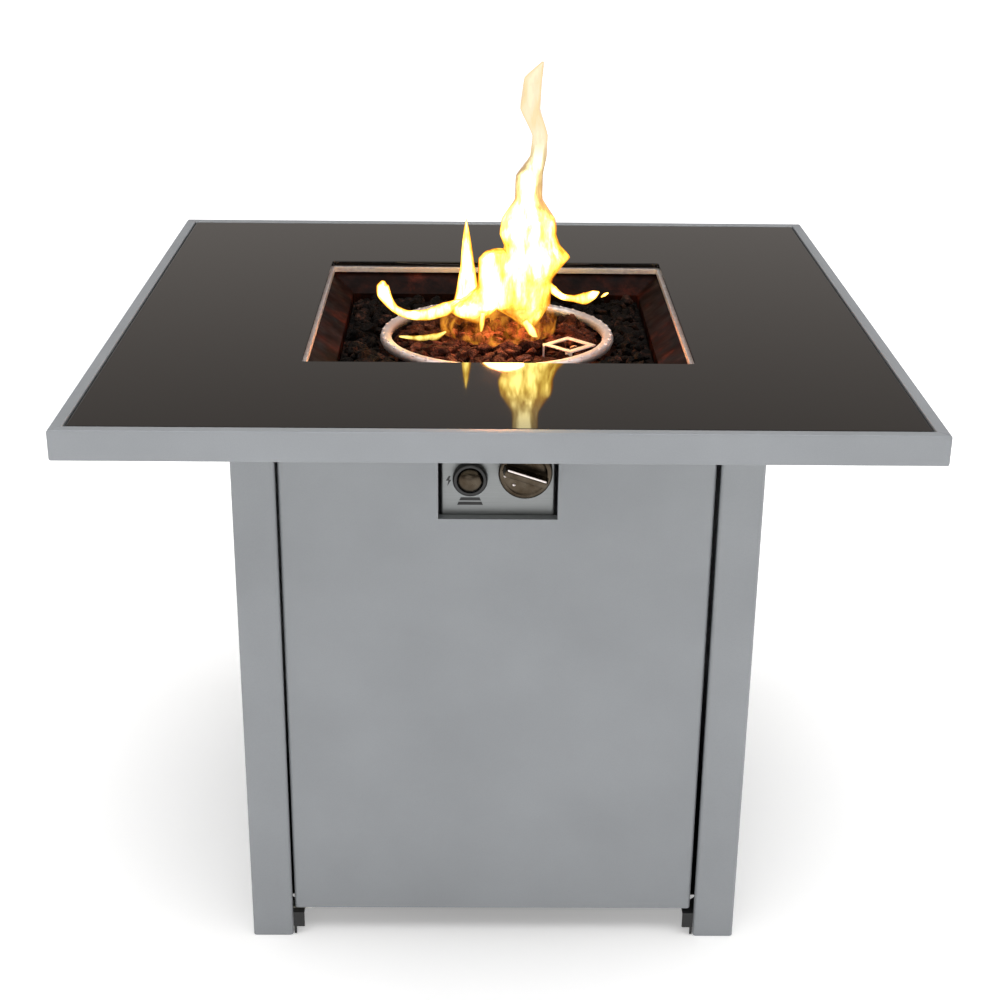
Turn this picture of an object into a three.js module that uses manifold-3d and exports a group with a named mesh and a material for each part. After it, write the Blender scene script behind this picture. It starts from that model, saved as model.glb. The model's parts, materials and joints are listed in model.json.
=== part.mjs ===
// Gas fire pit table: a glass-topped square table on a sheet-steel base that holds a gas cylinder.
// Units are millimetres, +Z is up, the front (door and controls) faces -Y, and the origin is on the
// floor under the centre of the table.
import * as THREE from "three";
import { mergeVertices } from "three/addons/utils/BufferGeometryUtils.js";
import Module from "manifold-3d";

const wasm = await Module();
wasm.setup();

// ---------------------------------------------------------------- driving dimensions
const TOP_SIDE = 813; // outside of the rim, both ways
const HEIGHT = 647; // floor to the top of the rim
const BASE_SIDE = 532; // outside of the legs, both ways
const OPENING_SIDE = 396; // square cut-out in the glass
const GAP = 0.3; // between fixed neighbours that touch on the real object

const RIM_WIDTH = 12;
const RIM_HEIGHT = 30;
const RIM_WALL = 1.5;
const RIM_RADIUS = 2;

const GLASS_THICKNESS = 6;
const GLASS_DROP = 1; // top of the glass below the top of the rim
const GASKET_THICKNESS = 3;
const GASKET_WIDTH = 2; // rubber edge between the glass and the rim

const SHEET = 1.2; // panels, tray, burner pan
const LEG_SHEET = 1.5;
const LEG_WIDTH = 44;
const LEG_LIP = 8; // return along each free edge of a leg
const RAIL_SHEET = 2;
const RAIL_WIDTH = 30;
const LEG_CLEARANCE = 0.5; // leg's lower edge above the floor

const PANEL_BOTTOM = 34.5; // panels and door stop this far above the floor
const PANEL_DEPTH = 15; // return flanges of the panels
const DOOR_DEPTH = 12; // return flanges of the door, which stop short of the control plate
const PANEL_RECESS = 4; // panel face behind the face of the legs
const SEAM = 2.4; // visible seam between a panel and a leg
const DOOR_LATCH_SEAM = 4.5; // wider seam on the door's opening side
const DOOR_TOP = 606;

const WINDOW_WIDTH = 120; // notch in the door round the controls
const WINDOW_BOTTOM = 501.5;

const KNOB_X = 27;
const KNOB_Z = 552;
const BUTTON_X = -28;
const BUTTON_Z = 541.5;
const BUTTON_TRAVEL = 5;

const RING_RADIUS = 124; // centre line of the burner ring
const RING_TUBE = 6.35;
const PAN_DEPTH = 75;
const PAN_HALF = 172; // inside of the pan's upright walls
const SPARK_X = 78; // igniter electrode, inside the ring
const SPARK_Y = -56;

// ---------------------------------------------------------------- levels and positions
const half = BASE_SIDE / 2;
const topHalf = TOP_SIDE / 2;
const openHalf = OPENING_SIDE / 2;
const glassTop = HEIGHT - GLASS_DROP;
const glassBottom = glassTop - GLASS_THICKNESS;
const deckTop = glassBottom - GASKET_THICKNESS - GAP - 0.2;
const deckBottom = deckTop - LEG_SHEET;
const deckHalf = topHalf - RIM_WIDTH - GAP;
const frameTop = deckBottom - GAP;
const panBottom = HEIGHT - PAN_DEPTH;
const panelFace = half - PANEL_RECESS;
const ringZ = HEIGHT - 34;
const rockTop = HEIGHT - 38;
const plateFace = panelFace - 13; // face of the control panel, behind the door's face
const railFace = plateFace - 13; // front of the front rail
const burnerPortZ = panBottom - 25; // axis of the mixer tube
const hingeX = -(half - LEG_WIDTH - SEAM) + 12;
const hingeY = -panelFace + 8;

// ---------------------------------------------------------------- materials
function paint(color, roughness, metalness) {
  return new THREE.MeshStandardMaterial({ color, roughness, metalness });
}
const greyPaint = paint(0x9a9ea2, 0.45, 0.2);
const blackGlass = paint(0x2a2725, 0.06, 0);
const blackPaint = paint(0x17171a, 0.55, 0.2);
const stainless = paint(0xb9b4ae, 0.3, 1);
const chrome = paint(0xd8d8d6, 0.1, 1);
const heatedSteel = paint(0x4a3f3a, 0.45, 0.8);
const galvanised = paint(0x9ea3a6, 0.45, 0.9);
const brass = paint(0xb58d45, 0.3, 1);
const aluminium = paint(0xc4c6c8, 0.35, 1);
const rubber = paint(0x161616, 0.85, 0);
const plastic = paint(0x1b1b1d, 0.5, 0);
const ceramic = paint(0xe9e4da, 0.35, 0);
const lavaRock = paint(0x2d2320, 0.95, 0);

// ---------------------------------------------------------------- solids
// A closed three.js geometry as a solid for joining and cutting.
function solid(geometry) {
  const bare = geometry.clone();
  bare.deleteAttribute("normal");
  bare.deleteAttribute("uv");
  const merged = mergeVertices(bare, 1e-4);
  return new wasm.Manifold(
    new wasm.Mesh({
      numProp: 3,
      vertProperties: new Float32Array(merged.attributes.position.array),
      triVerts: new Uint32Array(merged.index.array),
    }),
  );
}

// A solid as a three.js geometry.
function geometryOf(made) {
  const { numProp, vertProperties, triVerts } = made.getMesh();
  const points = new Float32Array((vertProperties.length / numProp) * 3);
  for (let i = 0; i < points.length / 3; i++)
    points.set(vertProperties.subarray(i * numProp, i * numProp + 3), i * 3);
  const geometry = new THREE.BufferGeometry();
  geometry.setAttribute("position", new THREE.BufferAttribute(points, 3));
  geometry.setIndex(new THREE.BufferAttribute(new Uint32Array(triVerts), 1));
  geometry.computeVertexNormals();
  return geometry;
}

function joined(...solids) {
  return solids.reduce((whole, next) => whole.add(next));
}

function shapeOf(points) {
  return new THREE.Shape(points.map(([u, v]) => new THREE.Vector2(u, v)));
}

function extruded(points, depth) {
  return new THREE.ExtrudeGeometry(shapeOf(points), { depth, bevelEnabled: false });
}

// Prisms of an outline given in the two other axes: (x, y) along Z, (x, z) along Y, (y, z) along X.
function prismZ(points, z0, z1) {
  return solid(extruded(points, z1 - z0).translate(0, 0, z0));
}
function prismY(points, y0, y1) {
  return solid(extruded(points, y1 - y0).rotateX(Math.PI / 2).translate(0, y1, 0));
}
function prismX(points, x0, x1) {
  const turn = new THREE.Matrix4().makeBasis(
    new THREE.Vector3(0, 1, 0),
    new THREE.Vector3(0, 0, 1),
    new THREE.Vector3(1, 0, 0),
  );
  return solid(extruded(points, x1 - x0).applyMatrix4(turn).translate(x0, 0, 0));
}

function rectangle(u0, u1, v0, v1) {
  return [[u0, v0], [u1, v0], [u1, v1], [u0, v1]];
}

function box(x0, x1, y0, y1, z0, z1) {
  return prismZ(rectangle(x0, x1, y0, y1), z0, z1);
}

function circle(u, v, radius, sides = 24) {
  return Array.from({ length: sides }, (_, i) => {
    const angle = (2 * Math.PI * (i + 0.5)) / sides;
    return [u + radius * Math.cos(angle), v + radius * Math.sin(angle)];
  });
}

// A regular hexagon of that width across its flats.
function hexagon(u, v, acrossFlats) {
  return circle(u, v, acrossFlats / Math.sqrt(3), 6);
}

// The open line through points, with each corner turned into an arc.
function filleted(points, radius, steps = 3) {
  return points.flatMap((corner, i) => {
    if (i === 0 || i === points.length - 1 || radius <= 0) return [corner];
    const at = new THREE.Vector2(...corner);
    const back = new THREE.Vector2(...points[i - 1]).sub(at).normalize();
    const ahead = new THREE.Vector2(...points[i + 1]).sub(at).normalize();
    const halfAngle = Math.acos(back.dot(ahead)) / 2;
    const start = at.clone().addScaledVector(back, radius / Math.tan(halfAngle));
    const end = at.clone().addScaledVector(ahead, radius / Math.tan(halfAngle));
    const middle = back.clone().add(ahead).normalize();
    const centre = at.clone().addScaledVector(middle, radius / Math.sin(halfAngle));
    const from = start.clone().sub(centre).angle();
    let sweep = end.clone().sub(centre).angle() - from;
    if (sweep > Math.PI) sweep -= 2 * Math.PI;
    if (sweep < -Math.PI) sweep += 2 * Math.PI;
    return Array.from({ length: steps + 1 }, (_, k) => {
      const angle = from + (sweep * k) / steps;
      return [centre.x + radius * Math.cos(angle), centre.y + radius * Math.sin(angle)];
    });
  });
}

// The open line through points, moved to its right by that distance.
function offsetRight(points, distance) {
  const lines = points.slice(1).map(([u, v], i) => {
    const from = new THREE.Vector2(...points[i]);
    const along = new THREE.Vector2(u, v).sub(from).normalize();
    const side = new THREE.Vector2(along.y, -along.x).multiplyScalar(distance);
    return { along, from: from.clone().add(side), to: new THREE.Vector2(u, v).add(side) };
  });
  return points.map((_, i) => {
    if (i === 0) return lines[0].from.toArray();
    if (i === points.length - 1) return lines[i - 1].to.toArray();
    const a = lines[i - 1];
    const b = lines[i];
    const t = b.from.clone().sub(a.from).cross(b.along) / a.along.cross(b.along);
    return a.from.clone().addScaledVector(a.along, t).toArray();
  });
}

// The section of a bent sheet whose outer face follows points, with its thickness to their right.
function sheetSection(points, thickness, radius) {
  const outer = filleted(points, radius);
  const inner = filleted(offsetRight(points, thickness), radius - thickness);
  return [...outer, ...inner.reverse()];
}

// One square ring of points with rounded corners, at that height.
function squareRing(halfSide, z, radius, steps) {
  const corners = [[1, 1], [-1, 1], [-1, -1], [1, -1]];
  return corners.flatMap(([sx, sy], quarter) =>
    Array.from({ length: steps + 1 }, (_, k) => {
      const angle = (Math.PI / 2) * (quarter + k / steps);
      const reach = halfSide - radius;
      return [sx * reach + radius * Math.cos(angle), sy * reach + radius * Math.sin(angle), z];
    }),
  );
}

// A closed body whose surface passes through square rings of (half side, z, corner radius). It
// closes on itself, or ends in flat faces when capped.
function squareBody(section, { capped = false, steps = 3 } = {}) {
  const rings = section.map(([halfSide, z, radius]) => squareRing(halfSide, z, radius, steps));
  const count = rings[0].length;
  const points = rings.flat();
  const faces = [];
  const joins = capped ? rings.length - 1 : rings.length;
  for (let r = 0; r < joins; r++)
    for (let i = 0; i < count; i++) {
      const a = r * count + i;
      const b = r * count + ((i + 1) % count);
      const c = ((r + 1) % rings.length) * count + i;
      const d = ((r + 1) % rings.length) * count + ((i + 1) % count);
      faces.push(a, b, c, b, d, c);
    }
  if (capped) {
    const last = (rings.length - 1) * count;
    for (let i = 1; i < count - 1; i++) {
      faces.push(0, i + 1, i);
      faces.push(last, last + i, last + i + 1);
    }
  }
  const geometry = new THREE.BufferGeometry();
  geometry.setAttribute("position", new THREE.Float32BufferAttribute(points.flat(), 3));
  geometry.setIndex(faces);
  return solid(geometry);
}

// A round tube or rod along a smooth line through points.
function alongCurve(points, radius, steps, sides = 8) {
  const path = new THREE.CatmullRomCurve3(
    points.map((p) => new THREE.Vector3(...p)),
    false,
    "centripetal",
  );
  const section = shapeOf(circle(0, 0, radius, sides));
  return solid(
    new THREE.ExtrudeGeometry(section, { extrudePath: path, steps, bevelEnabled: false }),
  );
}

function node(group, name, material, made, position = [0, 0, 0], turn = 0) {
  const mesh = new THREE.Mesh(geometryOf(made), material);
  mesh.name = name;
  mesh.position.set(...position);
  mesh.rotation.z = turn;
  group.add(mesh);
  return mesh;
}

// ---------------------------------------------------------------- tabletop
function rimRail() {
  const outer = [
    [-topHalf, HEIGHT - RIM_HEIGHT],
    [-topHalf + RIM_WIDTH, HEIGHT - RIM_HEIGHT],
    [-topHalf + RIM_WIDTH, HEIGHT],
    [-topHalf, HEIGHT],
  ];
  const rounded = (inset, radius) => {
    const [[y0, z0], , [y1, z1]] = outer;
    const loop = rectangle(y0 + inset, y1 - inset, z0 + inset, z1 - inset);
    return filleted([loop[3], ...loop, loop[0]], radius, 2).slice(1, -1);
  };
  const tube = prismX(rounded(0, RIM_RADIUS), -topHalf, topHalf).subtract(
    prismX(rounded(RIM_WALL, RIM_RADIUS - RIM_WALL), -topHalf - 1, topHalf + 1),
  );
  const mitre = GAP / 2;
  const plan = [
    [-topHalf + mitre, -topHalf],
    [topHalf - mitre, -topHalf],
    [topHalf - RIM_WIDTH - mitre, -topHalf + RIM_WIDTH],
    [-topHalf + RIM_WIDTH + mitre, -topHalf + RIM_WIDTH],
  ];
  return tube.intersect(prismZ(plan, HEIGHT - RIM_HEIGHT, HEIGHT));
}

function glassPane() {
  const outside = deckHalf - GASKET_WIDTH;
  const section = [
    [openHalf, glassBottom, 4],
    [outside, glassBottom, 2],
    [outside, glassTop, 2],
    [openHalf, glassTop, 4],
  ];
  return squareBody(section);
}

function glassGasket() {
  const glassEdge = deckHalf - GASKET_WIDTH + GAP;
  const seatInner = deckHalf - 20;
  const section = [
    [seatInner, deckTop + GAP, 2],
    [deckHalf, deckTop + GAP, 3],
    [deckHalf, glassTop - 1.5, 3],
    [glassEdge, glassTop - 1.5, 1.2],
    [glassEdge, glassBottom - GAP, 1.2],
    [seatInner, glassBottom - GAP, 2],
  ];
  return squareBody(section, { steps: 2 });
}

function topDeck() {
  const section = [
    [openHalf + 2, deckBottom, 6],
    [deckHalf, deckBottom, 3],
    [deckHalf, deckTop, 3],
    [openHalf + 2, deckTop, 6],
  ];
  return squareBody(section, { steps: 2 });
}

function openingTrim() {
  const flange = glassBottom - 0.5;
  const section = [
    [openHalf - 2.4, flange - 6.5, 2.6],
    [openHalf - 0.6, flange - 6.5, 4.4],
    [openHalf - 0.6, flange - SHEET, 4.4],
    [openHalf + 9, flange - SHEET, 5],
    [openHalf + 9, flange, 5],
    [openHalf - 2.4, flange, 2.6],
  ];
  return squareBody(section);
}

function buildTabletop() {
  const group = new THREE.Group();
  const rail = rimRail();
  ["front", "right", "back", "left"].forEach((side, i) =>
    node(group, `rim_rail_${side}`, greyPaint, rail, [0, 0, 0], (i * Math.PI) / 2),
  );
  node(group, "tabletop_glass", blackGlass, glassPane());
  node(group, "glass_gasket", rubber, glassGasket());
  node(group, "top_deck", galvanised, topDeck());
  node(group, "opening_trim", stainless, openingTrim());
  return group;
}

// ---------------------------------------------------------------- burner
const HUB_RADIUS = 11;
const ELECTRODE_RADIUS = 4;

function burnerPan() {
  const top = openHalf + 0.2;
  const rimZ = deckTop + GAP + SHEET;
  const slopeTop = rimZ - 7;
  const slopeBottom = HEIGHT - 34;
  const section = [
    [PAN_HALF + SHEET, panBottom, 3.2],
    [PAN_HALF + SHEET, slopeBottom, 3.2],
    [top + SHEET, slopeTop, 5.8],
    [top + SHEET, rimZ - SHEET, 5.8],
    [openHalf + 14, rimZ - SHEET, 5],
    [openHalf + 14, rimZ, 5],
    [top, rimZ, 4.6],
    [top, slopeTop, 4.6],
    [PAN_HALF, slopeBottom, 2],
    [PAN_HALF, panBottom + SHEET, 2],
  ];
  return squareBody(section, { capped: true })
    .subtract(prismZ(circle(0, 0, HUB_RADIUS + 0.6), panBottom - 1, panBottom + 3))
    .subtract(
      prismZ(circle(SPARK_X, SPARK_Y, ELECTRODE_RADIUS + 0.5, 12), panBottom - 1, panBottom + 3),
    );
}

function crossTube(extra = 0) {
  return prismY(circle(0, ringZ - 6, 5 + extra, 12), -RING_RADIUS, RING_RADIUS);
}

function burnerRing(extra = 0) {
  const torus = new THREE.TorusGeometry(RING_RADIUS, RING_TUBE + extra, 10, 44);
  return joined(
    solid(torus.translate(0, 0, ringZ)),
    crossTube(extra),
    prismZ(circle(0, 0, HUB_RADIUS + extra), panBottom - 14, ringZ - 4),
  );
}

function burnerLockNut() {
  return prismZ(hexagon(0, 0, 34), panBottom - 9, panBottom - GAP).subtract(
    prismZ(circle(0, 0, HUB_RADIUS + GAP), panBottom - 10, panBottom + 1),
  );
}

const MIXER_MOUTH = -118;

function burnerMixer() {
  const body = joined(
    prismZ(circle(0, 0, 14), burnerPortZ - 12, panBottom - 14 - GAP),
    prismY(circle(0, burnerPortZ, 9, 16), MIXER_MOUTH + 12, 0),
    prismY(circle(0, burnerPortZ, 13, 16), MIXER_MOUTH, MIXER_MOUTH + 14),
  );
  const airWindow = box(-20, 20, MIXER_MOUTH + 4, MIXER_MOUTH + 11, burnerPortZ - 4, burnerPortZ + 4);
  return body.subtract(airWindow.subtract(box(-5, 5, -200, 0, 0, HEIGHT)));
}

function orificeFitting() {
  return joined(
    prismY(hexagon(0, burnerPortZ, 17), MIXER_MOUTH - 14, MIXER_MOUTH - GAP),
    prismY(circle(0, burnerPortZ, 6, 12), MIXER_MOUTH - 20, MIXER_MOUTH - 13),
  );
}

// The upper surface of the loose rock: level round the ring, heaped up inside it.
function lavaRockBed() {
  const reach = PAN_HALF - 0.6;
  const floor = panBottom + SHEET + GAP;
  const heap = new THREE.LatheGeometry(
    [[0, floor], [104, floor], [104, rockTop + 1], [70, rockTop + 9], [0, rockTop + 14]].map(
      ([r, z]) => new THREE.Vector2(r, z),
    ),
    24,
  ).rotateX(Math.PI / 2);
  const bracketSpace = sparkBracket().translate([SPARK_X, SPARK_Y, 0]);
  const around = box(-1.5, 1.5, -1.5, 1.5, 0, 0.5);
  return joined(
    squareBody([[reach, floor, 2], [reach, rockTop, 2]], { capped: true }),
    solid(heap),
  )
    .subtract(burnerRing(0.5))
    .subtract(prismZ(circle(SPARK_X, SPARK_Y, ELECTRODE_RADIUS + 2, 12), floor - 1, HEIGHT))
    .subtract(bracketSpace.minkowskiSum(around));
}

function sparkElectrode() {
  const top = HEIGHT - 32;
  const outward = Math.atan2(SPARK_Y, SPARK_X);
  const tip = [0, 3, 6, 10].map((reach, i) => [
    SPARK_X + reach * Math.cos(outward),
    SPARK_Y + reach * Math.sin(outward),
    top - 2 + [0, 5, 7, 8][i],
  ]);
  return joined(
    prismZ(circle(SPARK_X, SPARK_Y, ELECTRODE_RADIUS, 12), panBottom - 16, top),
    prismZ(circle(SPARK_X, SPARK_Y, 1.5, 6), panBottom - 24, panBottom - 15),
    alongCurve(tip, 1.2, 8, 6),
  );
}

// A square frame set corner-on over the electrode, on one strip that stands on the pan.
function sparkBracket() {
  const outer = 29;
  const inner = 20;
  const frameZ = HEIGHT - 27;
  const diamond = (reach) => [[reach, 0], [0, reach], [-reach, 0], [0, -reach]];
  const strip = [[-outer + 0.6, -4.5], [-outer + 2.4, -4.5], [-outer + 2.4, 4.5], [-outer + 0.6, 4.5]];
  const footZ = panBottom + SHEET + GAP;
  return joined(
    prismZ(diamond(outer), frameZ, frameZ + LEG_SHEET).subtract(
      prismZ(diamond(inner), frameZ - 1, frameZ + 3),
    ),
    prismZ(strip, footZ, frameZ + 1),
    box(-outer + 0.6, -outer + 14, -4.5, 4.5, footZ, footZ + LEG_SHEET),
  );
}

const SHIELD_Z = HEIGHT - 120;
const SHIELD_HALF = 150;

function heatShield() {
  const tray = (reach, radius, z0, z1) =>
    squareBody([[reach, z0, radius], [reach, z1, radius]], { capped: true });
  return tray(SHIELD_HALF, 6, SHIELD_Z - 10, SHIELD_Z + SHEET).subtract(
    tray(SHIELD_HALF - SHEET, 6 - SHEET, SHIELD_Z - 11, SHIELD_Z),
  );
}

function buildBurner() {
  const group = new THREE.Group();
  node(group, "burner_pan", heatedSteel, burnerPan());
  node(group, "burner_ring", stainless, burnerRing());
  node(group, "burner_lock_nut", brass, burnerLockNut());
  node(group, "burner_mixer", brass, burnerMixer());
  node(group, "orifice_fitting", brass, orificeFitting());
  node(group, "lava_rock_bed", lavaRock, lavaRockBed());
  node(group, "spark_electrode", ceramic, sparkElectrode());
  node(group, "spark_bracket", stainless, sparkBracket(), [SPARK_X, SPARK_Y, 0]);
  node(group, "heat_shield", galvanised, heatShield());
  const standoff = prismZ(circle(0, 0, 4, 10), SHIELD_Z + SHEET + GAP, panBottom - GAP);
  const reach = SHIELD_HALF - 20;
  [[-1, -1], [1, -1], [1, 1], [-1, 1]].forEach(([sx, sy], i) =>
    node(group, `shield_standoff_${i + 1}`, galvanised, standoff, [sx * reach, sy * reach, 0]),
  );
  return group;
}

// ---------------------------------------------------------------- controls
const PLATE_HALF = WINDOW_WIDTH / 2 - 2.4;
const STEM_RADIUS = 4;
const NECK_RADIUS = 11;
const PLUNGER_RADIUS = 5;

function controlPlate() {
  const bottom = WINDOW_BOTTOM - 6;
  const top = frameTop - 4;
  const outer = sheetSection(
    [
      [PLATE_HALF, -railFace - GAP],
      [PLATE_HALF, -plateFace],
      [-PLATE_HALF, -plateFace],
      [-PLATE_HALF, -railFace - GAP],
    ],
    LEG_SHEET,
    2.5,
  );
  return joined(
    prismZ(outer, bottom, top),
    box(-PLATE_HALF + 1, PLATE_HALF - 1, -plateFace + 1, -railFace - GAP, bottom, bottom + LEG_SHEET),
  )
    .subtract(prismY(circle(KNOB_X, KNOB_Z, STEM_RADIUS + 1, 16), -plateFace - 1, -plateFace + 3))
    .subtract(
      prismY(circle(BUTTON_X, BUTTON_Z, NECK_RADIUS + 0.3), -plateFace - 1, -plateFace + 3),
    );
}

// A turned body on the Y axis from a profile of (radius, y).
function turned(profile, x, z, sides = 28) {
  const points = profile.map(([r, y]) => new THREE.Vector2(r, y));
  return solid(new THREE.LatheGeometry(points, sides).translate(x, 0, z));
}

function controlKnob() {
  const back = -plateFace - 2;
  const front = -plateFace - 19;
  const body = turned(
    [
      [0, front],
      [25, front],
      [26.4, front + 1.6],
      [27, front + 6],
      [27, back],
      [0, back],
    ],
    KNOB_X,
    KNOB_Z,
  );
  const grip = prismZ(
    filleted([[-24, front + 4], [-24, front - 14], [24, front - 14], [24, front + 4]], 5),
    -4.2,
    4.2,
  )
    .rotate([0, 18, 0])
    .translate([KNOB_X, 0, KNOB_Z]);
  const socket = prismY(circle(KNOB_X, KNOB_Z, STEM_RADIUS + GAP, 16), back - 10, back + 1);
  return body.add(grip).subtract(socket);
}

function valveStem() {
  return prismY(circle(KNOB_X, KNOB_Z, STEM_RADIUS, 16), -plateFace - 11, -plateFace + 11);
}

function gasValve() {
  const front = -plateFace + LEG_SHEET + GAP;
  return joined(
    prismY(circle(KNOB_X, KNOB_Z, 14), front + 3, front + 22),
    prismY(circle(KNOB_X, KNOB_Z, 9, 16), front, front + 4),
    box(KNOB_X - 11, KNOB_X + 11, front + 6, front + 34, KNOB_Z - 13, KNOB_Z + 9),
    prismY(circle(KNOB_X, KNOB_Z - 2, 6, 12), front + 33, front + 42),
  ).subtract(prismY(circle(KNOB_X, KNOB_Z, STEM_RADIUS + 0.5, 16), front - 1, -plateFace + 12));
}

function gasInlet() {
  const y = -plateFace + LEG_SHEET + GAP + 29;
  const top = KNOB_Z - 13 - GAP;
  const at = (radius, z0, z1, sides = 16) => prismZ(circle(KNOB_X, y, radius, sides), z0, z1);
  return joined(
    at(6, top - 5, top),
    prismZ(hexagon(KNOB_X, y, 16), top - 15, top - 5),
    at(7, top - 30, top - 14),
  );
}

function igniterBezel() {
  const face = -plateFace - GAP;
  return turned(
    [
      [PLUNGER_RADIUS + 0.5, face + 4],
      [PLUNGER_RADIUS + 0.5, face - 1.5],
      [13.4, face - 1.5],
      [13.4, face - 9],
      [16, face - 9],
      [17.6, face - 7],
      [17.6, face],
      [NECK_RADIUS, face],
      [NECK_RADIUS, face + 4],
      [PLUNGER_RADIUS + 0.5, face + 4],
    ],
    BUTTON_X,
    BUTTON_Z,
  );
}

function igniterButton() {
  const capBack = -plateFace - BUTTON_TRAVEL - 3;
  const flange = -plateFace + 12;
  return turned(
    [
      [0, capBack - 7],
      [9, capBack - 6.4],
      [12, capBack - 4],
      [12.6, capBack],
      [PLUNGER_RADIUS, capBack],
      [PLUNGER_RADIUS, flange],
      [9, flange],
      [9, flange + 2],
      [0, flange + 2],
    ],
    BUTTON_X,
    BUTTON_Z,
  );
}

const HOUSING_LENGTH = 62;

function igniterHousing() {
  const front = -plateFace + 4;
  const back = front + HOUSING_LENGTH;
  return turned(
    [
      [0, back - 3],
      [11, back - 3],
      [11, front + 1],
      [PLUNGER_RADIUS + 0.7, front + 1],
      [PLUNGER_RADIUS + 0.7, front],
      [13, front],
      [13, back],
      [0, back],
    ],
    BUTTON_X,
    BUTTON_Z,
  );
}

function igniterSpring() {
  const start = -plateFace + 14.6;
  const end = -plateFace + 4 + HOUSING_LENGTH - 3.6;
  const turns = 7;
  const stations = 9 * turns;
  const points = Array.from({ length: stations + 1 }, (_, i) => {
    const t = i / stations;
    const angle = 2 * Math.PI * turns * t;
    return [
      BUTTON_X + 8 * Math.cos(angle),
      start + 1 + (end - start - 2) * t,
      BUTTON_Z + 8 * Math.sin(angle),
    ];
  });
  return alongCurve(points, 0.8, stations, 5);
}

function igniterLead() {
  const housingBack = -plateFace + 4 + HOUSING_LENGTH;
  const electrodeEnd = panBottom - 24;
  return alongCurve(
    [
      [BUTTON_X, housingBack + 0.6, BUTTON_Z],
      [BUTTON_X, housingBack + 10, BUTTON_Z],
      [BUTTON_X + 6, MIXER_MOUTH - 8, burnerPortZ + 14],
      [-4, MIXER_MOUTH + 32, burnerPortZ + 16],
      [18, MIXER_MOUTH + 46, burnerPortZ + 12],
      [SPARK_X - 22, SPARK_Y - 4, electrodeEnd - 6],
      [SPARK_X - 6, SPARK_Y, electrodeEnd - 12],
      [SPARK_X, SPARK_Y, electrodeEnd - 7],
      [SPARK_X, SPARK_Y, electrodeEnd - 0.6],
    ],
    1.8,
    40,
    6,
  );
}

function gasTube() {
  const valveEnd = -plateFace + LEG_SHEET + 2 * GAP + 42;
  const mixerEnd = MIXER_MOUTH - 20 - GAP;
  const reach = mixerEnd - valveEnd;
  return alongCurve(
    [
      [KNOB_X, valveEnd, KNOB_Z - 2],
      [KNOB_X, valveEnd + 10, KNOB_Z - 2],
      [KNOB_X * 0.75, valveEnd + reach * 0.42, (KNOB_Z + burnerPortZ) / 2],
      [KNOB_X * 0.2, valveEnd + reach * 0.7, burnerPortZ + 1],
      [0, mixerEnd - 8, burnerPortZ],
      [0, mixerEnd, burnerPortZ],
    ],
    4,
    24,
  );
}

function buildControls() {
  const group = new THREE.Group();
  node(group, "control_plate", stainless, controlPlate());
  node(group, "control_knob", chrome, controlKnob());
  node(group, "valve_stem", galvanised, valveStem());
  node(group, "gas_valve", brass, gasValve());
  node(group, "gas_inlet", brass, gasInlet());
  node(group, "igniter_bezel", plastic, igniterBezel());
  node(group, "igniter_button", chrome, igniterButton());
  node(group, "igniter_housing", plastic, igniterHousing());
  node(group, "igniter_spring", stainless, igniterSpring());
  node(group, "igniter_lead", rubber, igniterLead());
  node(group, "gas_tube", aluminium, gasTube());
  return group;
}

// ---------------------------------------------------------------- base
function leg() {
  const edge = -half + LEG_WIDTH;
  const section = sheetSection(
    [
      [edge, -half + LEG_LIP],
      [edge, -half],
      [-half, -half],
      [-half, edge],
      [-half + LEG_LIP, edge],
    ],
    LEG_SHEET,
    3.5,
  );
  return prismZ(section, LEG_CLEARANCE, frameTop);
}

// A folded sheet panel: its face looks along -Y at y = 0, with returns behind all its edges.
// The outline runs anticlockwise in (x, z), and window is a notch cut down from its top edge.
function foldedPanel(x0, x1, z0, z1, depth, window) {
  const outline = (inset) => {
    const [left, right, low, high] = [x0 + inset, x1 - inset, z0 + inset, z1 - inset];
    if (!window) return rectangle(left, right, low, high);
    const reach = window.halfWidth + inset;
    return [
      [left, low],
      [right, low],
      [right, high],
      [reach, high],
      [reach, window.bottom - inset],
      [-reach, window.bottom - inset],
      [-reach, high],
      [left, high],
    ];
  };
  const plan = filleted([[x0, depth], [x0, 0], [x1, 0], [x1, depth]], 4);
  return prismY(outline(0), 0, depth)
    .intersect(prismZ(plan, z0 - 1, z1 + 1))
    .subtract(prismY(outline(SHEET), SHEET, depth + 1));
}

const PIN_RADIUS = 3;
const PIN_HOLE = PIN_RADIUS + 0.4;

function door() {
  const left = -half + LEG_WIDTH + SEAM;
  const right = half - LEG_WIDTH - DOOR_LATCH_SEAM;
  const window = { halfWidth: WINDOW_WIDTH / 2, bottom: WINDOW_BOTTOM };
  const pinHole = prismZ(circle(hingeX, hingeY + panelFace, PIN_HOLE, 16), 0, HEIGHT);
  return foldedPanel(left, right, PANEL_BOTTOM, DOOR_TOP, DOOR_DEPTH, window).subtract(pinHole);
}

function sidePanel() {
  const reach = half - LEG_WIDTH - SEAM;
  return foldedPanel(-reach, reach, PANEL_BOTTOM, frameTop - RAIL_SHEET - GAP, PANEL_DEPTH);
}

// The back panel lets the cylinder's bay breathe through a row of upright slots near its top.
function backPanel() {
  const slots = Array.from({ length: 11 }, (_, i) => {
    const x = (i - 5) * 22;
    return box(x - 3, x + 3, -1, SHEET + 1, 520, 570);
  });
  return slots.reduce((panel, slot) => panel.subtract(slot), sidePanel());
}


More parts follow.
